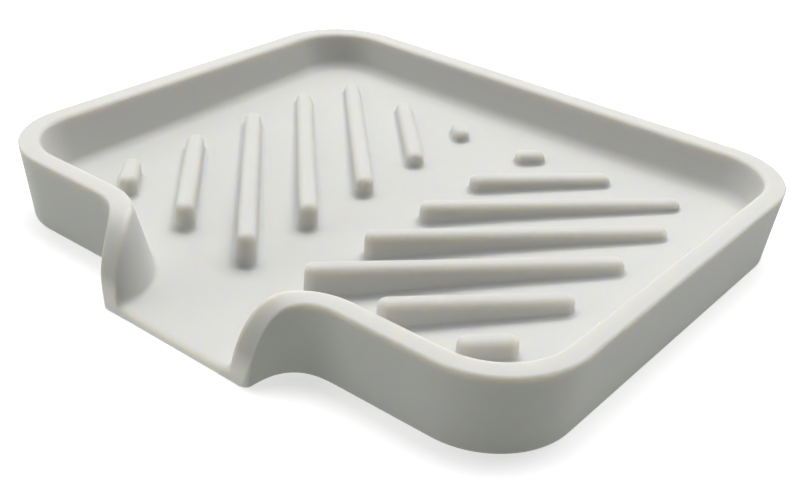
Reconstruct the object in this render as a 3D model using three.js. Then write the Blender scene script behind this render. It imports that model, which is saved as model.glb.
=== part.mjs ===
// Self-draining soap dish, moulded in silicone rubber.
// A low drafted tray with round corners. A flared spout in the front side lets the water out,
// the floor falls to it from every side, and two fans of ribs hold the soap clear of the water.
// Millimetres, +Z up. The dish stands on z = 0, the spout looks along -Y, and the origin lies
// under the middle of the footprint.

import * as THREE from "three";

// Tray
const WIDTH = 120.3; // across the rim, left to right
const DEPTH = 97.9; // across the rim, front to back, without the spout
const HEIGHT = 14.7; // table to rim
const WALL = 3.8; // thickness of the wall at the rim, measured level
const DRAFT = THREE.MathUtils.degToRad(6.5); // lean of the outer face, outwards to the rim
const INNER_DRAFT = THREE.MathUtils.degToRad(14.5); // lean of the inner face, so the wall is thicker below
const CORNER_RADIUS = 16; // outer corner in plan, at the rim
const RIM_ROUND = 0.4; // rounding of the rim's outer edge
const RIM_ROUND_INNER = 0.6; // rounding of the rim's inner edge
const COVE = 0.5; // hollow fillet between wall and floor at the lip, wider where the floor is higher
const COVE_SHARE = 0.6; // the cove takes up no more than this share of a low wall's inner face
const ROUND_SHARE = 0.45; // a rounding takes up no more than this share of its shorter edge

// Spout
const SPOUT_MOUTH = 37.2; // over the cheeks at the lip, on the rim's outline
const FLARE_RADIUS = 8.2; // quarter circle from the front side to the lip, on the rim's outline
const FLARE_DRAFT = THREE.MathUtils.degToRad(11); // lean of the outer face in the middle of a flare
const FALL_LENGTH = 7.7; // the rim falls to the lip over this distance
const CHEEK_TIP = 1.2; // height of a cheek at the lip
const CHEEK_ROUND = 1.2; // outer edge of a cheek's tip

// Floor
const FLOOR_THICKNESS = 2.4;
const FLOOR_LIP = 1.35; // top of the floor along the spout
const FLOOR_RISE = 5.95; // climb that the floor would reach far from the spout
const FLOOR_REACH = 50; // the climb slows down by a factor e over this distance
const DRAIN_INSET = 8; // middle of the drain, behind the front side
const DRAIN_RADIUS = 9.5; // the floor is level this close to that middle
const LIP_ROUND = 1; // rounding of the pouring edge
const SOFTENING = 6; // width of the soft bend between the level and the climbing floor
const UNDERSIDE_SOFTENING = 0.6; // the same where the hollow underside comes down to the table

// Ribs
const RIBS_PER_SIDE = 7;
const RIB_TOP = 8; // all ribs end at this height
const RIB_WIDTH = 3.5;
const RIB_ANGLE = THREE.MathUtils.degToRad(46); // from the X axis, away from the spout
const RIB_CORNER = 1.7; // vertical edges of a rib
const RIB_ROUND = 1.5; // top edges of a rib
const RIB_ROUND_SHARE = 0.8; // and no more than this share of its lowest side
const RIB_DRAFT = THREE.MathUtils.degToRad(1.5);
const RIB_AISLE = 13.4; // between the near ends of the left and the right fan
const RIB_MARGIN = 15.1; // from the rim's outline to the rib field, at the sides and the front
const RIB_MARGIN_BACK = 15.5;
const FIRST_RIB = 6.75; // from the front outer corner of the field to the first rib
const LAST_RIB = 4.5; // from the last rib to the back corner of the field
const RIB_SEAT = 0.15; // clearance between a rib and the floor

// Fineness of the curves
const CORNER_STEPS = 8;
const FLARE_STEPS = 16;
const FRONT_STEPS = 3;
const SIDE_STEPS = 8;
const BACK_STEPS = 10;
const ROUND_STEPS = 3;
const COVE_STEPS = 5;
const FLOOR_COLUMNS = 18;
const LIP_COLUMNS = 8;
const RIB_CORNER_STEPS = 3;
const RIB_SIDE_STEPS = 6;

const FRONT = -DEPTH / 2;
const LIP = FRONT - FLARE_RADIUS;
const FLARE_X = SPOUT_MOUTH / 2 + FLARE_RADIUS;
const RIGHT_ANGLE = Math.PI / 2;

// Foot of the cove, as the distance from the rim's outer outline, positive outwards.
const COVE_FOOT = -WALL - (HEIGHT - FLOOR_LIP) * Math.tan(INNER_DRAFT) - COVE;

// Level, then rising at the rate of x, with a soft bend where x passes zero.
function softRamp(x, softening) {
  return (x + Math.hypot(x, softening)) / 2;
}

// How far a round edge draws in at a distance from the end that it rounds off.
function drawIn(radius, distance) {
  const short = Math.max(0, radius - distance);
  return radius - Math.sqrt(radius * radius - short * short);
}

// Height of the rim. Seen from the side it falls to the lip in a quarter ellipse, which would
// reach the table just beyond the tip of the cheek.
function rimHeight(y) {
  const short = Math.max(0, 1 - (y - LIP) / FALL_LENGTH);
  const fallen = short * Math.sqrt(1 - (CHEEK_TIP / HEIGHT) ** 2);
  return HEIGHT * Math.sqrt(1 - fallen * fallen);
}

// Top of the floor: level in the drain and along the spout, climbing with the distance from
// there, less and less steeply. The pouring edge is rounded off.
function floorTop(x, y) {
  const away = Math.hypot(x, Math.max(0, y - (FRONT + DRAIN_INSET)));
  const climb = softRamp(away - DRAIN_RADIUS, SOFTENING) - softRamp(-DRAIN_RADIUS, SOFTENING);
  const rise = FLOOR_RISE * (1 - Math.exp(-climb / FLOOR_REACH));
  return FLOOR_LIP + rise - drawIn(LIP_ROUND, y - LIP);
}

// Underside of the floor: hollow behind, at an even thickness, and down to the table at the lip.
function floorUnder(x, y) {
  return softRamp(floorTop(x, y) - FLOOR_THICKNESS, UNDERSIDE_SOFTENING);
}

// A station is a place on the rim's outer outline, with the direction that points out of the tray
// and the lean of the outer face.
class Station {
  constructor(x, y, outX, outY, draft = DRAFT) {
    this.x = x;
    this.y = y;
    this.outX = outX;
    this.outY = outY;
    this.draft = draft;
  }

  // Plan point at a distance from the outline, positive outwards.
  at(distance) {
    return new THREE.Vector2(this.x + this.outX * distance, this.y + this.outY * distance);
  }

  // Distance of the outer face from the outline at a height.
  outerFace(z) {
    return -(HEIGHT - z) * Math.tan(this.draft);
  }

  // Point of the outer face at a height. The face draws in round the tip of a cheek.
  outerPoint(z) {
    const distance = this.outerFace(z);
    const behindLip = this.at(distance).y - LIP;
    return new THREE.Vector2(distance - drawIn(CHEEK_ROUND, behindLip), z);
  }

  // Inner edge of the rim, which lies higher than the outer edge on a flare.
  innerEdge() {
    const rim = rimHeight(this.at(-WALL).y);
    return new THREE.Vector2(this.outerFace(rim) - WALL, rim);
  }

  mirrored() {
    return new Station(-this.x, this.y, -this.outX, this.outY, this.draft);
  }
}

// Stations on an arc. The tray lies inside a corner's arc and outside a flare's.
function arcStations(centreX, centreY, radius, angles, out, draftAt) {
  return angles.map((angle) => {
    const c = Math.cos(angle);
    const s = Math.sin(angle);
    const draft = draftAt?.(angle);
    return new Station(centreX + radius * c, centreY + radius * s, out * c, out * s, draft);
  });
}

// Evenly spaced values from one end to the other, both ends included.
function spread(from, to, steps) {
  return Array.from({ length: steps + 1 }, (_, i) => from + ((to - from) * i) / steps);
}

// The left flare, from the lip to the front side. The stations lie closer together near the
// lip, where the rim is steepest. The outer face leans more in the middle of the flare.
function flareStations() {
  const angles = spread(0, 1, FLARE_STEPS).map((t) => RIGHT_ANGLE * t * t);
  const draftAt = (angle) => DRAFT + (FLARE_DRAFT - DRAFT) * Math.sin(2 * angle) ** 2;
  return arcStations(-FLARE_X, LIP, FLARE_RADIUS, angles, -1, draftAt);
}

// The left flank of the tray: front corner, side, back corner.
function flankStations() {
  const cornerX = -WIDTH / 2 + CORNER_RADIUS;
  const cornerY = DEPTH / 2 - CORNER_RADIUS;
  const frontAngles = spread(-RIGHT_ANGLE, -2 * RIGHT_ANGLE, CORNER_STEPS);
  const backAngles = spread(2 * RIGHT_ANGLE, RIGHT_ANGLE, CORNER_STEPS);
  const side = spread(-cornerY, cornerY, SIDE_STEPS).slice(1, -1);
  return [
    ...arcStations(cornerX, -cornerY, CORNER_RADIUS, frontAngles, 1),
    ...side.map((y) => new Station(-WIDTH / 2, y, -1, 0)),
    ...arcStations(cornerX, cornerY, CORNER_RADIUS, backAngles, 1),
  ];
}

// The wall from one flare round the tray to the other, clockwise seen from above.
function wallStations(flank) {
  const cornerX = WIDTH / 2 - CORNER_RADIUS;
  const front = spread(-FLARE_X, -cornerX, FRONT_STEPS).slice(0, -1);
  const back = spread(-cornerX, cornerX, BACK_STEPS).slice(1, -1);
  const left = [...front.map((x) => new Station(x, FRONT, 0, -1)), ...flank];
  const right = left.map((station) => station.mirrored()).reverse();
  return [...left, ...back.map((x) => new Station(x, DEPTH / 2, 0, 1)), ...right];
}

// Points of a round corner between two edges. The radius is limited by the shorter edge.
function roundCorner(before, corner, after, radius) {
  const back = before.clone().sub(corner);
  const ahead = after.clone().sub(corner);
  const half = Math.acos(back.dot(ahead) / (back.length() * ahead.length())) / 2;
  const room = Math.min(back.length(), ahead.length()) * ROUND_SHARE;
  const tangent = Math.min(radius / Math.tan(half), room);
  const start = corner.clone().add(back.setLength(tangent));
  const end = corner.clone().add(ahead.setLength(tangent));
  const towards = start.clone().add(end).multiplyScalar(0.5).sub(corner);
  const centre = corner.clone().add(towards.setLength(tangent / Math.cos(half)));
  const arm = start.clone().sub(centre);
  const turn = Math.PI - 2 * half;
  return spread(0, turn, ROUND_STEPS).map((angle) => {
    return arm.clone().rotateAround(new THREE.Vector2(), angle).add(centre);
  });
}

// Section through the wall at a station: foot, outer face, rim, inner face and cove, as
// (distance from the outline, height) points, counter-clockwise.
function wallSection(station) {
  const foot = station.outerPoint(0);
  const outerEdge = station.outerPoint(rimHeight(station.y));
  const innerEdge = station.innerEdge();
  const plan = station.at(COVE_FOOT);
  const coveFoot = new THREE.Vector2(COVE_FOOT, floorTop(plan.x, plan.y));
  const high = innerEdge.y - coveFoot.y;
  const corner = new THREE.Vector2(innerEdge.x - high * Math.tan(INNER_DRAFT), coveFoot.y);
  const share = Math.min((corner.x - coveFoot.x) / high, COVE_SHARE);
  const coveTop = corner.clone().lerp(innerEdge, share);
  return [
    new THREE.Vector2(COVE_FOOT, 0),
    foot,
    ...roundCorner(foot, outerEdge, innerEdge, RIM_ROUND),
    ...roundCorner(outerEdge, innerEdge, coveTop, RIM_ROUND_INNER),
    ...new THREE.QuadraticBezierCurve(coveTop, corner, coveFoot).getPoints(COVE_STEPS),
  ];
}

// Triangles that close a ring whose first half lies opposite its second half.
function zipCap(count) {
  const triangles = [];
  for (let i = 0; i + 1 < count / 2; i++) {
    const across = count - 1 - i;
    triangles.push([i, i + 1, across], [i + 1, across - 1, across]);
  }
  return triangles;
}

// Skins a row of closed rings, which all have the same number of points, into one closed body.
function loft(rings, firstCap, lastCap) {
  const count = rings[0].length;
  const last = (rings.length - 1) * count;
  const faces = [];
  for (let start = 0; start < last; start += count) {
    for (let i = 0; i < count; i++) {
      const a = start + i;
      const b = start + ((i + 1) % count);
      faces.push(a, b, b + count, a, b + count, a + count);
    }
  }
  firstCap.forEach(([a, b, c]) => faces.push(a, c, b));
  lastCap.forEach(([a, b, c]) => faces.push(last + a, last + b, last + c));
  const geometry = new THREE.BufferGeometry().setFromPoints(rings.flat());
  geometry.setIndex(faces);
  geometry.computeVertexNormals();
  return geometry;
}

// The wall carried along its stations.
function wallGeometry(stations) {
  const sections = stations.map(wallSection);
  const rings = stations.map((station, i) =>
    sections[i].map((point) => {
      const plan = station.at(point.x);
      return new THREE.Vector3(plan.x, plan.y, point.y);
    }),
  );
  const cap = (section) => THREE.ShapeUtils.triangulateShape(section, []);
  return loft(rings, cap(sections[0]), cap(sections.at(-1)));
}

// The floor between the left and the right foot of the cove, as slices from front to back.
function floorGeometry(stations, columns) {
  const rings = stations.map((station) => {
    const edge = station.at(COVE_FOOT);
    const across = spread(edge.x, -edge.x, columns);
    const top = across.map((x) => new THREE.Vector3(x, edge.y, floorTop(x, edge.y)));
    const under = across.map((x) => new THREE.Vector3(x, edge.y, floorUnder(x, edge.y)));
    return [...under.reverse(), ...top];
  });
  const cap = zipCap(2 * (columns + 1));
  return loft(rings, cap, cap);
}

// Outline of the right fan's rib in plan, counter-clockwise from its near end, drawn in by an inset.
function ribOutline(near, length, inset) {
  const along = new THREE.Vector2(Math.cos(RIB_ANGLE), Math.sin(RIB_ANGLE));
  const aside = new THREE.Vector2(-along.y, along.x);
  const radius = RIB_CORNER - inset;
  const half = RIB_WIDTH / 2 - RIB_CORNER;
  const place = (a, b) => near.clone().addScaledVector(along, a).addScaledVector(aside, b);
  const quarter = spread(0, RIGHT_ANGLE, RIB_CORNER_STEPS);
  const nearEnd = quarter.map((t) => {
    return place(RIB_CORNER - radius * Math.cos(t), -half - radius * Math.sin(t));
  });
  const farEnd = quarter.map((t) => {
    return place(length - RIB_CORNER + radius * Math.sin(t), -half - radius * Math.cos(t));
  });
  const side = spread(RIB_CORNER, length - RIB_CORNER, RIB_SIDE_STEPS).slice(1, -1);
  const right = [...nearEnd, ...side.map((a) => place(a, -half - radius)), ...farEnd];
  const mirror = (point) => {
    const across = point.clone().sub(near).dot(aside);
    return point.clone().addScaledVector(aside, -2 * across);
  };
  return [...right, ...right.map(mirror).reverse()];
}

// A rib with drafted sides and a round top, seated on the falling floor.
function ribGeometry(near, length) {
  const seat = (point) => floorTop(point.x, point.y) + RIB_SEAT;
  const highest = Math.max(...ribOutline(near, length, 0).map(seat));
  const round = Math.min(RIB_ROUND, (RIB_TOP - highest) * RIB_ROUND_SHARE);
  const shoulder = RIB_TOP - round;
  const widening = (shoulder - highest) * Math.tan(RIB_DRAFT);
  const bottom = ribOutline(near, length, -widening);
  const rings = [bottom.map((point) => new THREE.Vector3(point.x, point.y, seat(point)))];
  for (const t of spread(0, RIGHT_ANGLE, ROUND_STEPS)) {
    const z = shoulder + round * Math.sin(t);
    const outline = ribOutline(near, length, round * (1 - Math.cos(t)));
    rings.push(outline.map((point) => new THREE.Vector3(point.x, point.y, z)));
  }
  const cap = zipCap(bottom.length);
  return loft(rings, cap, cap);
}

// Near ends and lengths of the right fan. The near ends are spaced evenly along the front edge
// of the field, from its outer corner in, and on along the aisle to the back.
function ribPlaces() {
  const inner = RIB_AISLE / 2;
  const outer = WIDTH / 2 - RIB_MARGIN;
  const front = FRONT + RIB_MARGIN;
  const back = DEPTH / 2 - RIB_MARGIN_BACK;
  const edge = outer - inner + (back - front);
  return spread(FIRST_RIB, edge - LAST_RIB, RIBS_PER_SIDE - 1).map((travel) => {
    const near = new THREE.Vector2(Math.max(inner, outer - travel), front);
    near.y += Math.max(0, travel - (outer - inner));
    const toSide = (outer - near.x) / Math.cos(RIB_ANGLE);
    const toBack = (back - near.y) / Math.sin(RIB_ANGLE);
    return { near, length: Math.min(toSide, toBack) };
  });
}

// A piece seen in the mirror of the dish's middle plane, its faces turned round to point out again.
function mirrorGeometry(geometry) {
  const mirrored = geometry.clone().scale(-1, 1, 1);
  const index = mirrored.getIndex();
  for (let i = 0; i < index.count; i += 3) {
    const second = index.getX(i + 1);
    index.setX(i + 1, index.getX(i + 2));
    index.setX(i + 2, second);
  }
  mirrored.computeVertexNormals();
  return mirrored;
}

const SILICONE = { roughness: 0.62, metalness: 0 };

function named(name, geometry, color) {
  const mesh = new THREE.Mesh(geometry, new THREE.MeshStandardMaterial({ color, ...SILICONE }));
  mesh.name = name;
  return mesh;
}

const dish = new THREE.Group();
dish.position.y = FLARE_RADIUS / 2; // the footprint reaches from the lip to the back of the rim

const flank = flankStations();
const flare = flareStations();
const cheek = wallGeometry(flare);
dish.add(named("rim_wall", wallGeometry(wallStations(flank)), "#d4d4d0"));
dish.add(named("spout_cheek_left", cheek, "#d2d2ce"));
dish.add(named("spout_cheek_right", mirrorGeometry(cheek), "#d2d2ce"));
dish.add(named("floor_pan", floorGeometry(flank, FLOOR_COLUMNS), "#d6d6d2"));
dish.add(named("spout_lip", floorGeometry(flare, LIP_COLUMNS), "#d6d6d2"));

ribPlaces().forEach(({ near, length }, i) => {
  const rib = ribGeometry(near, length);
  dish.add(named(`rib_right_${i + 1}`, rib, "#d8d8d4"));
  dish.add(named(`rib_left_${i + 1}`, mirrorGeometry(rib), "#d8d8d4"));
});

export default dish;
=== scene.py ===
"""Light grey silicone soap dish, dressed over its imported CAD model.

The dish is one soft moulding: a drafted tray whose wall opens into a flared pouring spout, a floor
that falls to the spout from every side, and two fans of ribs that hold the soap out of the water.
Sizes are in millimetres with +Z up; the meshes are in metres, in the frame of the CAD model.
"""

import logging
import math
from dataclasses import dataclass, field
from enum import Enum

import bpy
import numpy as np
from mathutils import Matrix, Vector


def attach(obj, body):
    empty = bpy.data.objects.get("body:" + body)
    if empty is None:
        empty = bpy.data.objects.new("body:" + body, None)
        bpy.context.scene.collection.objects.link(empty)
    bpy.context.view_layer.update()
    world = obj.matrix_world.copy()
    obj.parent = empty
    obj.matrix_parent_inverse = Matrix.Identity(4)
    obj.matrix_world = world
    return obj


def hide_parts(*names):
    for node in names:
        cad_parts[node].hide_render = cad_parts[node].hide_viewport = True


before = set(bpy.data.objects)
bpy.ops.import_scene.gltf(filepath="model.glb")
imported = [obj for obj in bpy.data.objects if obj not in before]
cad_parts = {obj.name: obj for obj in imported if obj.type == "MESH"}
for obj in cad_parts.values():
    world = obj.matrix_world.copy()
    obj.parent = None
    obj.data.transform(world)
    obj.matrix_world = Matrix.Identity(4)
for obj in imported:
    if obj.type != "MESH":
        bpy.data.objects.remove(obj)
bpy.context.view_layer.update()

log = logging.getLogger("soap_dish")
Array = np.ndarray

MM = 0.001
RIGHT_ANGLE = math.pi / 2
BODY = "root"
BLEED = "light_bleed"
MIX_A, MIX_B, MIX_RESULT = 6, 7, 2  # numbers of the Mix node's colour sockets
WHITE = (1.0, 1.0, 1.0, 1.0)


class Side(Enum):
    """The two halves of the dish, as the sign of x."""

    LEFT = -1
    RIGHT = 1


class Ray(Enum):
    """Rays that see the white backdrop, as outputs of the Light Path node."""

    CAMERA = "Is Camera Ray"
    GLOSSY = "Is Glossy Ray"
    TRANSMISSION = "Is Transmission Ray"


def soft_ramp(x: Array, softening: float) -> Array:
    """Level, then rising at the rate of x: half the sum of x and the hypotenuse of x and the softening.

    Args:
        x: Where to take the ramp, which bends at zero.
        softening: Width of the bend.

    Returns:
        The height of the ramp at each x.
    """
    return (x + np.hypot(x, softening)) / 2


def draw_in(radius: float, distance: Array) -> Array:
    """How far a round edge draws in: the radius less the leg of the right triangle under its arc.

    Args:
        radius: Radius of the edge.
        distance: Distance from the end that the edge rounds off.

    Returns:
        The depth at each distance, from the radius at the end to nothing at one radius from it.
    """
    short = np.clip(radius - distance, 0.0, radius)
    return radius - np.sqrt(radius**2 - short**2)


def between(start: Array, end: Array, steps: int) -> Array:
    """Points on the straight lines from starts to ends: the weighted mean of both, step by step.

    Args:
        start: Points, one for each line.
        end: Points, one for each line.
        steps: Number of steps on each line.

    Returns:
        The points of each line, both ends included, along a new axis before the last.
    """
    share = np.linspace(0.0, 1.0, steps + 1)[:, None]
    return start[..., None, :] * (1 - share) + end[..., None, :] * share


def fillet(before: Array, corner: Array, after: Array, radius: float, share: float, steps: int) -> Array:
    """Arcs that round the corners of many sections at once.

    An arc leaves each edge at the radius over the tangent of half the corner's angle, but no further
    than a share of the shorter edge. Its points swing from one edge to the other round the centre,
    which lies on the line that halves the angle.

    Args:
        before: Points before the corners.
        corner: The corners.
        after: Points after the corners.
        radius: Radius of the arcs.
        share: Largest part of the shorter edge that an arc may take up.
        steps: Number of steps on each arc.

    Returns:
        The points of each arc, along a new axis before the last.
    """
    edges = np.stack([before - corner, after - corner])
    lengths = np.linalg.norm(edges, axis=-1, keepdims=True)
    unit = edges / lengths
    half = np.arccos((unit[0] * unit[1]).sum(-1, keepdims=True)) / 2
    tangent = np.minimum(radius / np.tan(half), share * lengths.min(axis=0))
    halving = unit.sum(axis=0)
    halving /= np.linalg.norm(halving, axis=-1, keepdims=True)
    centre = (corner + halving * tangent / np.cos(half))[..., None, :]
    arms = corner[..., None, :] + unit[..., None, :] * tangent[..., None, :] - centre
    turn = (math.pi - 2 * half)[..., None, :]
    part = np.linspace(0.0, 1.0, steps + 1)[:, None]
    swing = np.sin((1 - part) * turn) * arms[0] + np.sin(part * turn) * arms[1]
    return centre + swing / np.sin(turn)


def bezier(start: Array, start_handle: Array, end_handle: Array, end: Array, steps: int) -> Array:
    """Cubic curves: the four control points weighted by the cubic binomials of the share travelled.

    Args:
        start: First points of the curves.
        start_handle: Points that the curves leave towards.
        end_handle: Points that the curves arrive from.
        end: Last points of the curves.
        steps: Number of steps on each curve.

    Returns:
        The points of each curve, along a new axis before the last.
    """
    t = np.linspace(0.0, 1.0, steps + 1)[:, None]
    weights = ((1 - t) ** 3, 3 * t * (1 - t) ** 2, 3 * t**2 * (1 - t), t**3)
    controls = (start, start_handle, end_handle, end)
    return sum(point[..., None, :] * weight for point, weight in zip(controls, weights))


class Skin:
    """A closed mesh put together from patches of surface, welded where their points meet."""

    WELD_DIGITS = 5
    SHARP = math.radians(38)

    def __init__(self) -> None:
        """Starts with no patches."""
        self.points: list[Array] = []
        self.bleed: list[Array] = []
        self.faces: list[Array] = []
        self.count = 0

    def add_points(self, points: Array, bleed: Array | float) -> int:
        """Keeps points with the share of the light that bleeds there.

        Args:
            points: Points in millimetres, in any arrangement.
            bleed: One value for each point, or one for all.

        Returns:
            The number of the first point.
        """
        first = self.count
        flat = points.reshape(-1, 3)
        self.points.append(flat)
        self.bleed.append(np.broadcast_to(bleed, points.shape[:-1]).reshape(-1))
        self.count += len(flat)
        return first

    def add_grid(self, grid: Array, bleed: Array | float = 0.0, turned: bool = False) -> None:
        """Adds a patch of quads. It faces along the cross product of its columns' and rows' directions.

        Args:
            grid: Points as rows and columns.
            bleed: Share of the light that bleeds at the points.
            turned: True if the patch faces the other way.
        """
        rows, columns = grid.shape[:2]
        index = np.arange(rows * columns).reshape(rows, columns) + self.add_points(grid, bleed)
        corners = [index[:-1, :-1], index[:-1, 1:], index[1:, 1:], index[1:, :-1]]
        if turned:
            corners.reverse()
        self.faces.append(np.stack(corners, axis=-1).reshape(-1, 4))

    def add_cap(self, ring: Array, turned: bool = False) -> None:
        """Adds one flat face over a ring of points.

        Args:
            ring: Points round the face, counter-clockwise seen from the side that it faces.
            turned: True if the face looks the other way.
        """
        face = np.arange(len(ring)) + self.add_points(ring, 0.0)
        self.faces.append((face[::-1] if turned else face)[None])

    def mesh(self, name: str) -> bpy.types.Mesh:
        """Welds the patches and makes the mesh, smooth but for its sharp edges.

        Args:
            name: Name of the mesh.

        Returns:
            The new mesh, in metres.
        """
        points = np.concatenate(self.points)
        rounded = np.round(points, self.WELD_DIGITS)
        _, kept, welded = np.unique(rounded, axis=0, return_index=True, return_inverse=True)
        welded = welded.reshape(-1)
        mesh = bpy.data.meshes.new(name)
        faces = [face for patch in self.faces for face in welded[patch].tolist()]
        mesh.from_pydata(points[kept] * MM, [], faces)
        attribute = mesh.attributes.new(BLEED, "FLOAT", "POINT")
        attribute.data.foreach_set("value", np.concatenate(self.bleed)[kept].astype(np.float32))
        mesh.shade_smooth()
        mesh.set_sharp_from_angle(angle=self.SHARP)
        return mesh


class NodeBoard:
    """Adds and links the nodes of one material or world."""

    def __init__(self, tree: bpy.types.NodeTree) -> None:
        """Clears the tree.

        Args:
            tree: The node tree to fill.
        """
        self.tree = tree
        tree.nodes.clear()

    def add(self, kind: str, inputs: dict | None = None, **settings: object) -> bpy.types.Node:
        """Adds a node.

        Args:
            kind: Type of the node.
            inputs: Values for its sockets, or output sockets to link to them, by socket name or number.
            settings: Values for the node's own properties.

        Returns:
            The new node.
        """
        node = self.tree.nodes.new(kind)
        for name, value in settings.items():
            setattr(node, name, value)
        for socket, value in (inputs or {}).items():
            if isinstance(value, bpy.types.NodeSocket):
                self.tree.links.new(value, node.inputs[socket])
            else:
                node.inputs[socket].default_value = value
        return node


@dataclass(frozen=True)
class SiliconeFinish:
    """Matte silicone rubber: light grey, a little clouded, with light bleeding through its edges."""

    colour: tuple[float, float, float] = (0.647, 0.648, 0.625)
    cloud: tuple[float, float, float] = (0.627, 0.63, 0.609)
    # Painted light: a paler, warmer colour for the lip's front. It stands in for light coming through
    # the lip and is not a colour of the silicone.
    painted_lip_glow: tuple[float, float, float] = (0.96, 0.94, 0.89)
    painted_lip_glow_from: float = -52.3
    painted_lip_glow_to: float = -53.0
    cloud_size: float = 14.0
    cloud_detail: float = 3.0
    cloud_crispness: float = 0.55
    grain_size: float = 0.28
    grain_detail: float = 2.0
    grain_crispness: float = 0.6
    grain_depth: float = 0.012
    grain_strength: float = 0.35
    roughness: tuple[float, float] = (0.52, 0.64)
    specular: float = 0.22
    bleed: float = 1.0
    bleed_depth: tuple[float, float] = (0.4, 5.0)
    bleed_radius: tuple[float, float, float] = (1.0, 0.8, 0.5)

    def material(self) -> bpy.types.Material:
        """Makes the material.

        Returns:
            The silicone, whose colour follows slow clouds. At the pouring lip the colour is painted
            paler and warmer.
            This is a painted glow that stands in for light coming through the lip. Its fine moulded
            grain sets the bump and the roughness, and light bleeds deeper near its edges.
        """
        material = bpy.data.materials.new("silicone_light_grey")
        material.use_nodes = True
        board = NodeBoard(material.node_tree)
        place = board.add("ShaderNodeTexCoord").outputs["Object"]
        clouds = board.add(
            "ShaderNodeTexNoise",
            {
                "Vector": place,
                "Scale": 1 / (self.cloud_size * MM),
                "Detail": self.cloud_detail,
                "Roughness": self.cloud_crispness,
            },
        )
        grain = board.add(
            "ShaderNodeTexNoise",
            {
                "Vector": place,
                "Scale": 1 / (self.grain_size * MM),
                "Detail": self.grain_detail,
                "Roughness": self.grain_crispness,
            },
        )
        clouded = board.add(
            "ShaderNodeMix",
            {"Factor": clouds.outputs["Fac"], MIX_A: (*self.colour, 1), MIX_B: (*self.cloud, 1)},
            data_type="RGBA",
        )
        along = board.add("ShaderNodeSeparateXYZ", {"Vector": place}).outputs["Y"]
        # Painted light: this ramp along y fades in the paler lip colour, a painted glow for light that
        # comes through the lip.
        painted_lip_glow = board.add(
            "ShaderNodeMapRange",
            {"Value": along, "From Min": self.painted_lip_glow_from * MM, "From Max": self.painted_lip_glow_to * MM},
        )
        colour = board.add(
            "ShaderNodeMix",
            {
                "Factor": painted_lip_glow.outputs["Result"],
                MIX_A: clouded.outputs[MIX_RESULT],
                MIX_B: (*self.painted_lip_glow, 1),
            },
            data_type="RGBA",
        )
        near_edge = board.add("ShaderNodeAttribute", attribute_name=BLEED)
        depth = board.add(
            "ShaderNodeMapRange",
            {
                "Value": near_edge.outputs["Fac"],
                "To Min": self.bleed_depth[0] * MM,
                "To Max": self.bleed_depth[1] * MM,
            },
        )
        roughness = board.add(
            "ShaderNodeMapRange",
            {"Value": grain.outputs["Fac"], "To Min": self.roughness[0], "To Max": self.roughness[1]},
        )
        bump = board.add(
            "ShaderNodeBump",
            {
                "Height": grain.outputs["Fac"],
                "Strength": self.grain_strength,
                "Distance": self.grain_depth * MM,
            },
        )
        skin = board.add(
            "ShaderNodeBsdfPrincipled",
            {
                "Base Color": colour.outputs[MIX_RESULT],
                "Roughness": roughness.outputs["Result"],
                "Normal": bump.outputs["Normal"],
                "Specular IOR Level": self.specular,
                "Subsurface Weight": self.bleed,
                "Subsurface Scale": depth.outputs["Result"],
                "Subsurface Radius": self.bleed_radius,
            },
        )
        board.add("ShaderNodeOutputMaterial", {"Surface": skin.outputs["BSDF"]})
        return material


@dataclass(frozen=True)
class BackdropFinish:
    """White paper under and behind the dish."""

    paper: float = 0.8
    glow: float = 0.55
    bounce: tuple[float, float, float] = (0.18, 0.183, 0.175)
    fill: float = 0.48
    fill_colour: tuple[float, float, float] = (0.97, 1.0, 0.95)

    def seen(self, board: NodeBoard) -> bpy.types.NodeSocket:
        """Tells the rays that see the backdrop from those that only carry its light.

        Args:
            board: Where to add the nodes.

        Returns:
            A socket that is 1 for camera, glossy and transmission rays.
        """
        path = board.add("ShaderNodeLightPath")
        first, second, third = (path.outputs[ray.value] for ray in Ray)
        pair = board.add("ShaderNodeMath", {0: first, 1: second}, operation="MAXIMUM")
        either = board.add("ShaderNodeMath", {0: pair.outputs[0], 1: third}, operation="MAXIMUM")
        return either.outputs[0]

    def material(self) -> bpy.types.Material:
        """Makes the paper, which takes the dish's shadow.

        Returns:
            The material. Where it is seen it is lit paper with a glow of its own. To the dish it gives
            an even fill light and a little of what falls on it.
        """
        material = bpy.data.materials.new("white_paper")
        material.use_nodes = True
        board = NodeBoard(material.node_tree)
        lit = board.add("ShaderNodeBsdfDiffuse", {"Color": (self.paper,) * 3 + (1,)})
        glow = board.add("ShaderNodeEmission", {"Strength": self.glow})
        shown = board.add("ShaderNodeAddShader", {0: lit.outputs[0], 1: glow.outputs[0]})
        dim = board.add("ShaderNodeBsdfDiffuse", {"Color": (*self.bounce, 1)})
        fill = board.add("ShaderNodeEmission", {"Strength": self.fill, "Color": (*self.fill_colour, 1)})
        given = board.add("ShaderNodeAddShader", {0: dim.outputs[0], 1: fill.outputs[0]})
        mixed = board.add(
            "ShaderNodeMixShader", {0: self.seen(board), 1: given.outputs[0], 2: shown.outputs[0]}
        )
        board.add("ShaderNodeOutputMaterial", {"Surface": mixed.outputs[0]})
        return material

    def world(self) -> bpy.types.World:
        """Makes the world.

        Returns:
            A sky that is white where it is seen and gives no light.
        """
        world = bpy.data.worlds.new("white_sky")
        world.use_nodes = True
        board = NodeBoard(world.node_tree)
        sky = board.add("ShaderNodeBackground", {"Color": WHITE, "Strength": self.seen(board)})
        board.add("ShaderNodeOutputWorld", {"Surface": sky.outputs["Background"]})
        return world


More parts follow.
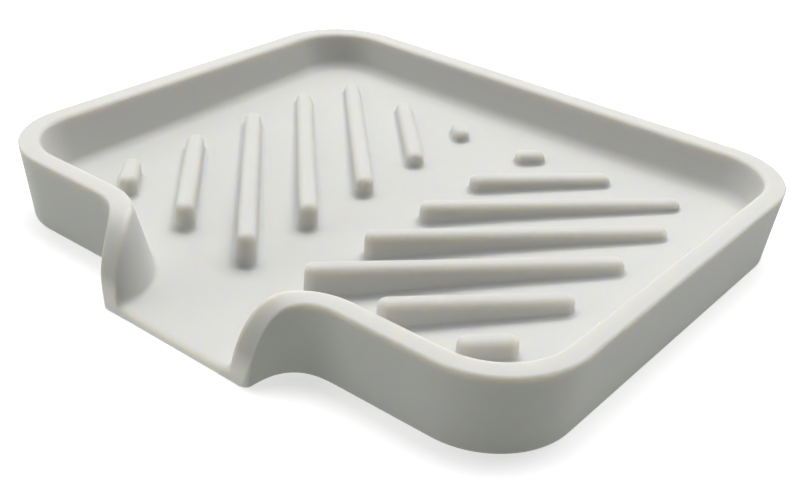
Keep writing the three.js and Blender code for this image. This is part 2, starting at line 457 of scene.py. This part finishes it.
@dataclass(frozen=True)
class RimPath:
    """Stations on the rim's outer outline: places, directions out of the tray and outer drafts."""

    place: Array
    out: Array
    draft: Array

    def at(self, distance: Array | float) -> Array:
        """Plan points at a distance from the outline, positive outwards, one for each station."""
        return self.place + self.out * np.broadcast_to(distance, self.draft.shape)[:, None]

    def swept(self, sections: Array) -> Array:
        """Section points carried to the stations, as a grid of one row for each station."""
        plan = self.place[:, None] + self.out[:, None] * sections[..., :1]
        return np.concatenate([plan, sections[..., 1:]], axis=-1)

    def mirrored(self) -> "RimPath":
        """The same stations on the other side of the dish, in the opposite order."""
        flip = np.array([-1.0, 1.0])
        return RimPath(self.place[::-1] * flip, self.out[::-1] * flip, self.draft[::-1])

    @staticmethod
    def joined(*parts: "RimPath") -> "RimPath":
        """One path from several, without the station that a part shares with the one before it."""
        place = np.concatenate([parts[0].place, *(part.place[1:] for part in parts[1:])])
        out = np.concatenate([parts[0].out, *(part.out[1:] for part in parts[1:])])
        draft = np.concatenate([parts[0].draft, *(part.draft[1:] for part in parts[1:])])
        return RimPath(place, out, draft)


@dataclass(frozen=True)
class DrainFloor:
    """The floor that carries the water to the spout."""

    front: float
    lip_line: float
    back_foot: float
    side_foot: float
    thickness: float = 2.4
    lip: float = 1.35
    rise: float = 5.95
    reach: float = 50.0
    drain_inset: float = 8.0
    drain_radius: float = 9.5
    lip_round: float = 1.0
    softening: float = 6.0
    underside_softening: float = 0.6
    swell_back: float = 0.65
    swell_side: float = 0.45
    swell_run: float = 13.0

    def top(self, x: Array, y: Array) -> Array:
        """Height of the floor.

        The distance from the drain's middle line, softly cut off inside the drain's radius, climbs by
        the rise times one minus the exponential of minus the distance over the reach. Close to the
        back and side walls it swells up with the square of the way. The pouring edge is rounded off.

        Args:
            x: Places across the dish.
            y: Places along the dish.

        Returns:
            The height at each place.
        """
        away = np.hypot(x, np.maximum(0.0, y - (self.front + self.drain_inset)))
        level = soft_ramp(np.asarray(-self.drain_radius), self.softening)
        climb = soft_ramp(away - self.drain_radius, self.softening) - level
        rise = self.rise * (1 - np.exp(-climb / self.reach))
        behind = np.clip(1 - (self.back_foot - y) / self.swell_run, 0.0, 1.0)
        beside = np.clip(1 - (self.side_foot - np.abs(x)) / self.swell_run, 0.0, 1.0)
        swell = self.swell_back * behind**2 + self.swell_side * beside**2
        return self.lip + rise + swell - draw_in(self.lip_round, y - self.lip_line)

    def under(self, x: Array, y: Array) -> Array:
        """Height of the hollow underside: a thickness below the top, and softly down to the table."""
        return soft_ramp(self.top(x, y) - self.thickness, self.underside_softening)


@dataclass
class Tray:
    """The tray: wall, cheeks, floor and pouring lip as one moulded skin."""

    finish: bpy.types.Material
    width: float = 120.3
    depth: float = 97.9
    height: float = 14.7
    wall: float = 3.8
    draft: float = math.radians(6.5)
    inner_draft: float = math.radians(14.5)
    corner_radius: float = 16.0
    rim_round: float = 0.4
    rim_round_inner: float = 0.9
    foot_round: float = 0.35
    cove: float = 0.5
    cove_share: float = 0.6
    handle: float = 0.55
    handle_fall: float = 0.4
    round_share: float = 0.45
    mouth: float = 37.2
    flare: float = 8.2
    flare_draft: float = math.radians(11)
    fall_length: float = 7.7
    cheek_tip: float = 1.2
    cheek_round: float = 1.2
    bleed_reach: float = 5.0
    bleed_fall: float = 2.0
    lip_bleed: float = 0.14
    lip_reach: float = 2.0
    flare_steps: int = 64
    corner_steps: int = 24
    front_steps: int = 12
    lip_columns: int = 36
    side_steps: int = 26
    cove_steps: int = 12
    rim_steps: int = 8
    wall_steps: int = 14
    foot_steps: int = 4
    nodes: tuple[str, ...] = (
        "rim_wall",
        "spout_cheek_left",
        "spout_cheek_right",
        "floor_pan",
        "spout_lip",
    )
    floor: DrainFloor = field(init=False)

    def __post_init__(self) -> None:
        """Works out the lines that the other sizes refer to."""
        self.front = -self.depth / 2
        self.lip_line = self.front - self.flare
        self.flare_x = self.mouth / 2 + self.flare
        self.corner_x = self.width / 2 - self.corner_radius
        self.corner_y = self.depth / 2 - self.corner_radius
        lean = (self.height - DrainFloor.lip) * math.tan(self.inner_draft)
        self.cove_foot = -self.wall - lean - self.cove
        back, side = self.depth / 2 + self.cove_foot, self.width / 2 + self.cove_foot
        self.floor = DrainFloor(self.front, self.lip_line, back, side)
        self.shift = np.array([0.0, self.flare / 2, 0.0])

    def rim_height(self, y: Array) -> Array:
        """Height of the rim.

        It is the height times the root of one less the square of what has fallen, a quarter ellipse
        seen from the side, which would reach the table just beyond the tip of a cheek.

        Args:
            y: Places along the dish.

        Returns:
            The height at each place.
        """
        short = np.maximum(0.0, 1 - (y - self.lip_line) / self.fall_length)
        fallen = short * math.sqrt(1 - (self.cheek_tip / self.height) ** 2)
        return self.height * np.sqrt(1 - fallen**2)

    def columns(self) -> Array:
        """Places across the floor, which the front and the back of the wall share."""
        front = np.linspace(-self.corner_x, -self.flare_x, self.front_steps + 1)
        lip = np.linspace(-self.flare_x, self.flare_x, self.lip_columns + 1)
        return np.concatenate([front, lip[1:-1], -front[::-1]])

    def arc(self, middle: tuple[float, float], radius: float, angles: Array, out: int) -> RimPath:
        """Stations on an arc, at the middle plus the radius times the cosine and sine of the angles.

        Args:
            middle: Centre of the arc in plan.
            radius: Its radius.
            angles: Angles of the stations.
            out: 1 where the tray lies inside the arc, -1 where it lies outside.

        Returns:
            The stations.
        """
        ray = np.stack([np.cos(angles), np.sin(angles)], axis=-1)
        return RimPath(np.asarray(middle) + radius * ray, out * ray, np.full(len(angles), self.draft))

    def flare_path(self) -> RimPath:
        """The left flare from the lip to the front side.

        The angles grow with the square of the share, closest at the lip. The outer draft grows from
        the front side's to the flare's with the squared sine of twice the angle.

        Returns:
            The stations.
        """
        angles = RIGHT_ANGLE * np.linspace(0.0, 1.0, self.flare_steps + 1) ** 2
        path = self.arc((-self.flare_x, self.lip_line), self.flare, angles, -1)
        more = (self.flare_draft - self.draft) * np.sin(2 * angles) ** 2
        return RimPath(path.place, path.out, self.draft + more)

    def straight(self, x: Array, y: Array, out: tuple[float, float]) -> RimPath:
        """Stations on a straight side."""
        place = np.stack(np.broadcast_arrays(x, y), axis=-1)
        return RimPath(place, np.broadcast_to(out, place.shape), np.full(len(place), self.draft))

    def flank_path(self) -> RimPath:
        """The left flank: front corner, side and back corner."""
        front = np.linspace(-RIGHT_ANGLE, -2 * RIGHT_ANGLE, self.corner_steps + 1)
        back = np.linspace(2 * RIGHT_ANGLE, RIGHT_ANGLE, self.corner_steps + 1)
        side = np.linspace(-self.corner_y, self.corner_y, self.side_steps + 1)
        return RimPath.joined(
            self.arc((-self.corner_x, -self.corner_y), self.corner_radius, front, 1),
            self.straight(np.asarray(-self.width / 2), side, (-1.0, 0.0)),
            self.arc((-self.corner_x, self.corner_y), self.corner_radius, back, 1),
        )

    def wall_path(self) -> RimPath:
        """The whole wall, from the tip of the left cheek round the tray to the tip of the right one."""
        columns = self.columns()
        front = self.straight(columns[self.front_steps :: -1], np.asarray(self.front), (0.0, -1.0))
        back = self.straight(columns, np.asarray(self.depth / 2), (0.0, 1.0))
        left = RimPath.joined(self.flare_path(), front, self.flank_path())
        return RimPath.joined(left, back, left.mirrored())

    def outer_face(self, path: RimPath, z: Array) -> Array:
        """Distance of the outer face from the rim's outline: it leans in by the draft below the rim."""
        return (z - self.height) * np.tan(path.draft)

    def outer_point(self, path: RimPath, z: Array) -> Array:
        """Section points of the outer face at a height. The face draws in round the tip of a cheek."""
        distance = self.outer_face(path, z)
        behind_lip = path.at(distance)[:, 1] - self.lip_line
        return np.stack([distance - draw_in(self.cheek_round, behind_lip), z], axis=-1)

    def coves(self, path: RimPath, inner: Array) -> Array:
        """Hollow curves from the floor into the inner face.

        Each is a cubic that leaves the floor along its slope at the foot of the cove and runs up the
        inner face as far as the foot lies from the corner where face and floor would meet. Its handles
        grow towards that corner as the rim falls, which keeps the cove tight along the cheeks.

        Args:
            path: Stations of the wall.
            inner: The rim's inner edge in each section.

        Returns:
            The section points of each cove.
        """
        level = np.full(len(inner), self.cove_foot)
        plan = path.at(level)
        inside = path.at(level - self.cove)
        low = self.floor.top(plan[:, 0], plan[:, 1])
        slope = (low - self.floor.top(inside[:, 0], inside[:, 1])) / self.cove
        high = inner[:, 1] - low
        corner = np.stack([inner[:, 0] - high * math.tan(self.inner_draft), low], axis=-1)
        run = corner[:, 0] - level
        share = np.minimum(run / high, self.cove_share)[:, None]
        start = np.stack([level, low], axis=-1)
        end = corner + (inner - corner) * share
        handle = (self.handle + self.handle_fall * (1 - inner[:, 1] / self.height))[:, None]
        leave = start + handle * run[:, None] * np.stack([np.ones(len(slope)), slope], axis=-1)
        return bezier(start, leave, end + handle * (corner - end), end, self.cove_steps)

    def sections(self, path: RimPath) -> tuple[Array, Array]:
        """Sections of the wall, from the foot of the cove over the rim and round under the foot.

        Args:
            path: Stations of the wall.

        Returns:
            Points as distance from the outline and height, and the share of bleeding light at each.
        """
        table = np.zeros(len(path.draft))
        rim_inner = self.rim_height(path.at(-self.wall)[:, 1])
        inner = np.stack([self.outer_face(path, rim_inner) - self.wall, rim_inner], axis=-1)
        outer = self.outer_point(path, self.rim_height(path.place[:, 1]))
        foot = self.outer_point(path, table)
        plan = path.at(self.cove_foot)
        heel = np.stack([table + self.cove_foot, table], axis=-1)
        end = np.stack([table + self.cove_foot, self.floor.under(plan[:, 0], plan[:, 1])], axis=-1)
        cove = self.coves(path, inner)
        share = self.round_share
        inner_arc = fillet(cove[:, -1], inner, outer, self.rim_round_inner, share, self.rim_steps)
        outer_arc = fillet(inner, outer, foot, self.rim_round, share, self.rim_steps)
        foot_arc = fillet(outer, foot, heel, self.foot_round, share, self.foot_steps)
        heel_arc = fillet(foot, heel, end, self.foot_round, share, self.foot_steps)
        points = np.concatenate(
            [
                cove[:, :-1],
                between(cove[:, -1], inner_arc[:, 0], self.rim_steps)[:, :-1],
                inner_arc[:, :-1],
                between(inner_arc[:, -1], outer_arc[:, 0], self.rim_steps)[:, :-1],
                outer_arc[:, :-1],
                between(outer_arc[:, -1], foot_arc[:, 0], self.wall_steps)[:, :-1],
                foot_arc[:, :-1],
                between(foot_arc[:, -1], heel_arc[:, 0], self.foot_steps)[:, :-1],
                heel_arc,
                end[:, None],
            ],
            axis=1,
        )
        below = inner[:, None, 1] - points[..., 1]
        tall = inner[:, None, 1] / self.height
        return points, tall * np.clip(1 - below / self.bleed_reach, 0.0, 1.0) ** self.bleed_fall

    def floor_grids(self, path: RimPath, columns: Array) -> tuple[Array, Array]:
        """Top and underside of the floor between the two feet of the cove.

        Args:
            path: Stations of the left edge, one for each row.
            columns: Shares of the half width, from -1 to 1.

        Returns:
            The two grids, row by row from front to back.
        """
        edge = path.at(self.cove_foot)
        x = -edge[:, :1] * columns
        y = np.broadcast_to(edge[:, 1:], x.shape)
        top = np.stack([x, y, self.floor.top(x, y)], axis=-1)
        under = np.stack([x, y, self.floor.under(x, y)], axis=-1)
        return top, under

    def build(self) -> bpy.types.Object:
        """Makes the tray and dresses it.

        Returns:
            The tray, which stands for the wall, cheeks, floor and lip of the CAD model.
        """
        skin = Skin()
        path = self.wall_path()
        sections, bleed = self.sections(path)
        band = path.swept(sections)
        skin.add_grid(band + self.shift, bleed, turned=True)
        skin.add_cap(band[0] + self.shift)
        skin.add_cap(band[-1] + self.shift, turned=True)
        pan = self.floor_grids(self.flank_path(), self.columns() / self.corner_x)
        lip = self.floor_grids(self.flare_path(), np.linspace(-1.0, 1.0, self.lip_columns + 1))
        for top, under in (pan, lip):
            near_lip = np.clip(1 - (top[..., 1] - self.lip_line) / self.lip_reach, 0.0, 1.0)
            skin.add_grid(top + self.shift, self.lip_bleed * near_lip)
            skin.add_grid(under + self.shift, turned=True)
        skin.add_grid(np.stack([lip[1][0], lip[0][0]]) + self.shift, self.lip_bleed)
        return make_piece("tray", skin, self.finish, self.nodes)


@dataclass
class RibFan:
    """One fan of ribs, which run from the aisle and the front out to the side and the back."""

    side: Side
    tray: Tray
    finish: bpy.types.Material
    count: int = 7
    top: float = 8.0
    width: float = 3.5
    angle: float = math.radians(46)
    corner: float = 1.72
    top_round: float = 1.5
    top_share: float = 0.75
    foot_round: float = 0.9
    foot_share: float = 0.3
    draft: float = math.radians(1.5)
    aisle: float = 13.4
    margin: float = 15.1
    margin_back: float = 15.5
    first: float = 6.75
    last: float = 4.5
    root: float = 0.5
    tuck: float = 0.006
    bleed_fall: float = 0.9
    corner_steps: int = 8
    side_steps: int = 26
    round_steps: int = 8
    flank_steps: int = 6

    def places(self) -> tuple[Array, Array]:
        """Near ends and lengths of the ribs.

        The near ends are spaced evenly along the front edge of the field, from its outer corner in,
        and on along the aisle. Each rib ends where it first meets the side or the back of the field.

        Returns:
            The near ends in plan, for the right fan, and the lengths.
        """
        tray = self.tray
        inner = self.aisle / 2
        outer = tray.width / 2 - self.margin
        front = tray.front + self.margin
        back = tray.depth / 2 - self.margin_back
        edge = outer - inner + back - front
        travel = np.linspace(self.first, edge - self.last, self.count)
        x = np.maximum(inner, outer - travel)
        y = front + np.maximum(0.0, travel - (outer - inner))
        length = np.minimum((outer - x) / math.cos(self.angle), (back - y) / math.sin(self.angle))
        return np.stack([x, y], axis=-1), length

    def outline(self, near: Array, length: float) -> tuple[Array, Array]:
        """Core of a rib in plan and the directions out of it, round the rib from its near end.

        The outline is the core plus a radius along these directions. Its second half is the first
        half seen in the rib's long axis.

        Args:
            near: Near end of the rib.
            length: Its length.

        Returns:
            The core points and the directions.
        """
        turn = np.linspace(0.0, RIGHT_ANGLE, self.corner_steps + 1)
        start = np.stack([-np.cos(turn), -np.sin(turn)], axis=-1)
        end = np.stack([np.sin(turn), -np.cos(turn)], axis=-1)
        side = np.broadcast_to([0.0, -1.0], (self.side_steps - 1, 2))
        ray = np.concatenate([start, side, end])
        along = np.concatenate(
            [
                np.full(len(turn), self.corner),
                np.linspace(self.corner, length - self.corner, self.side_steps + 1)[1:-1],
                np.full(len(turn), length - self.corner),
            ]
        )
        core = np.stack([along, np.full(len(along), self.corner - self.width / 2)], axis=-1)
        flip = np.array([1.0, -1.0])
        core = np.concatenate([core, core[::-1] * flip])
        ray = np.concatenate([ray, ray[::-1] * flip])
        c, s = math.cos(self.angle), math.sin(self.angle)
        turned = np.array([[c, s], [-s, c]])
        return near + core @ turned, ray @ turned

    def rings(self, near: Array, length: float) -> tuple[Array, Array]:
        """Rings round a rib from its root to its top.

        A hollow quarter round leads from the floor into the drafted side, and a full quarter round
        from the side into the level top. Both shrink with the height of the rib where the floor rises.

        Args:
            near: Near end of the rib.
            length: Its length.

        Returns:
            The rings, one row each, and the share of bleeding light at their points.
        """
        core, ray = self.outline(near, length)
        wall = core + ray * self.corner
        base = self.tray.floor.top(wall[:, 0], wall[:, 1])
        high = self.top - base
        top_round = np.minimum(self.top_round, high * self.top_share)
        foot_round = np.minimum(self.foot_round, high * self.foot_share)
        shoulder = self.top - top_round
        lean = math.tan(self.draft)

        turn = np.linspace(0.0, RIGHT_ANGLE, self.round_steps + 1)[:, None]
        foot_out = foot_round * (1 - np.sin(turn)) + (shoulder - base - foot_round) * lean
        foot_plan = core + ray * (self.corner + foot_out)[..., None]
        foot_floor = self.tray.floor.top(foot_plan[..., 0], foot_plan[..., 1])
        foot_z = foot_floor + foot_round * (1 - np.cos(turn)) - self.tuck * np.cos(turn)
        foot_z[-1] = base + foot_round
        root_z = foot_z[:1] - self.root

        share = np.linspace(0.0, 1.0, self.flank_steps + 1)[1:-1, None]
        side_z = (base + foot_round) * (1 - share) + shoulder * share
        side_out = (shoulder - side_z) * lean
        top_out = top_round * (np.cos(turn) - 1)
        top_z = shoulder + top_round * np.sin(turn)

        out = np.concatenate([foot_out[:1], foot_out, side_out, top_out])
        z = np.concatenate([root_z, foot_z, side_z, top_z])
        plan = core + ray * (self.corner + out)[..., None]
        bleed = np.clip((z - base) / high, 0.0, 1.0) ** self.bleed_fall
        bleed[-len(turn) :] *= np.cos(turn)
        return np.concatenate([plan, z[..., None]], axis=-1), bleed

    def build(self) -> list[bpy.types.Object]:
        """Makes the ribs of the fan and dresses them.

        Returns:
            The ribs, each of which stands for its own CAD node.
        """
        made = []
        mirror = np.array([self.side.value, 1.0, 1.0])
        turned = self.side is Side.LEFT
        for number, (near, length) in enumerate(zip(*self.places()), start=1):
            rings, bleed = self.rings(near, length)
            rings = rings * mirror + self.tray.shift
            half = rings.shape[1] // 2
            closed = np.concatenate([rings, rings[:, :1]], axis=1)
            skin = Skin()
            skin.add_grid(closed, np.concatenate([bleed, bleed[:, :1]], axis=1), turned)
            for ring, over in ((rings[-1], True), (rings[0], False)):
                strip = np.stack([ring[:half], ring[half:][::-1]], axis=1)
                skin.add_grid(strip, turned=turned != over)
            name = f"rib_{self.side.name.lower()}_{number}"
            made.append(make_piece(f"soap_{name}", skin, self.finish, (name,)))
        return made


def make_piece(
    name: str, skin: Skin, finish: bpy.types.Material, nodes: tuple[str, ...]
) -> bpy.types.Object:
    """Puts a skin into the scene as a piece of the dish.

    Args:
        name: Name of the piece.
        skin: Its surface.
        finish: Its material.
        nodes: CAD nodes that it stands for.

    Returns:
        The new object.
    """
    mesh = skin.mesh(name)
    mesh.materials.append(finish)
    piece = bpy.data.objects.new(name, mesh)
    bpy.context.scene.collection.objects.link(piece)
    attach(piece, BODY)
    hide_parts(*nodes)
    return piece


@dataclass(frozen=True)
class Lamp:
    """A square soft light that looks at the dish, with its angles in degrees and its sizes in metres."""

    name: str
    azimuth: float
    elevation: float
    power: float
    size: float = 0.9
    distance: float = 1.2

    def build(self) -> bpy.types.Object:
        """Hangs the lamp at its distance in the direction that its two angles give.

        Returns:
            The lamp.
        """
        light = bpy.data.lights.new(self.name, "AREA")
        light.size = self.size
        light.energy = self.power
        lamp = bpy.data.objects.new(self.name, light)
        back = direction(self.azimuth, self.elevation)
        lamp.location = back * self.distance
        lamp.rotation_euler = back.to_track_quat("Z", "Y").to_euler()
        bpy.context.scene.collection.objects.link(lamp)
        return lamp


def direction(azimuth: float, elevation: float) -> Vector:
    """Unit vector from the dish to a viewer: azimuth 0 is in front of the spout, 90 to the right.

    Args:
        azimuth: Angle round the dish in degrees.
        elevation: Angle above the table in degrees.

    Returns:
        The direction.
    """
    a, e = math.radians(azimuth), math.radians(elevation)
    return Vector((math.sin(a) * math.cos(e), -math.cos(a) * math.cos(e), math.sin(e)))


@dataclass(frozen=True)
class PhotoCamera:
    """The camera, as solved from the rim, the corners and the foot of the dish."""

    azimuth: float = 36.955
    elevation: float = 29.087
    roll: float = 3.598
    target: tuple[float, float, float] = (5.248, -0.304, 0.0)
    distance: float = 214.916
    lens: float = 50.929
    sensor: float = 36.0
    nearest: float = 10.0
    farthest: float = 50000.0

    def build(self) -> bpy.types.Object:
        """Places the camera: its axes are the view's right and up, turned by the roll, and back.

        Returns:
            The camera, which is made the scene's own.
        """
        back = direction(self.azimuth, self.elevation)
        level = Vector((0, 0, 1)).cross(back).normalized()
        upright = back.cross(level)
        c, s = math.cos(math.radians(self.roll)), math.sin(math.radians(self.roll))
        axes = Matrix((level * c + upright * s, upright * c - level * s, back)).transposed()
        data = bpy.data.cameras.new("photo_camera")
        data.sensor_fit = "HORIZONTAL"
        data.sensor_width = self.sensor
        data.lens = self.lens
        data.clip_start = self.nearest * MM
        data.clip_end = self.farthest * MM
        camera = bpy.data.objects.new("photo_camera", data)
        place = (Vector(self.target) + back * self.distance) * MM
        camera.matrix_world = Matrix.Translation(place) @ axes.to_4x4()
        bpy.context.scene.collection.objects.link(camera)
        bpy.context.scene.camera = camera
        return camera


@dataclass
class Studio:
    """A white paper floor in metres, a white sky and a few large soft lamps."""

    backdrop: BackdropFinish = BackdropFinish()
    camera: PhotoCamera = PhotoCamera()
    floor_size: float = 1.1
    lamps: tuple[Lamp, ...] = (
        Lamp("top_lamp", 180.0, 70.0, 9.4),
        Lamp("top_left_lamp", 235.0, 70.0, 5.3),
        Lamp("back_lamp", 180.0, 50.0, 1.6),
        Lamp("left_lamp", 272.0, 50.0, 2.4),
        Lamp("low_left_lamp", 315.0, 25.0, 2.8, 0.7),
        Lamp("low_back_lamp", 135.0, 20.0, 1.1, 0.7),
    )

    def build(self) -> None:
        """Lays the floor, lights the dish and places the camera."""
        half = self.floor_size / 2
        corners = [(-half, -half, 0), (half, -half, 0), (half, half, 0), (-half, half, 0)]
        mesh = bpy.data.meshes.new("paper_floor")
        mesh.from_pydata(corners, [], [(0, 1, 2, 3)])
        mesh.materials.append(self.backdrop.material())
        floor = bpy.data.objects.new("paper_floor", mesh)
        bpy.context.scene.collection.objects.link(floor)
        bpy.context.scene.world = self.backdrop.world()
        for lamp in self.lamps:
            lamp.build()
        self.camera.build()
        bpy.context.scene.view_settings.view_transform = "Standard"


def main() -> None:
    """Builds the dish and its studio, and notes the number of faces of each piece."""
    logging.basicConfig(level=logging.INFO, format="%(name)s: %(message)s")
    finish = SiliconeFinish().material()
    tray = Tray(finish)
    pieces = [tray.build()]
    for side in Side:
        pieces += RibFan(side, tray, finish).build()
    for piece in pieces:
        log.info("%s: %d faces", piece.name, len(piece.data.polygons))
    Studio().build()


if __name__ == "__main__":
    main()
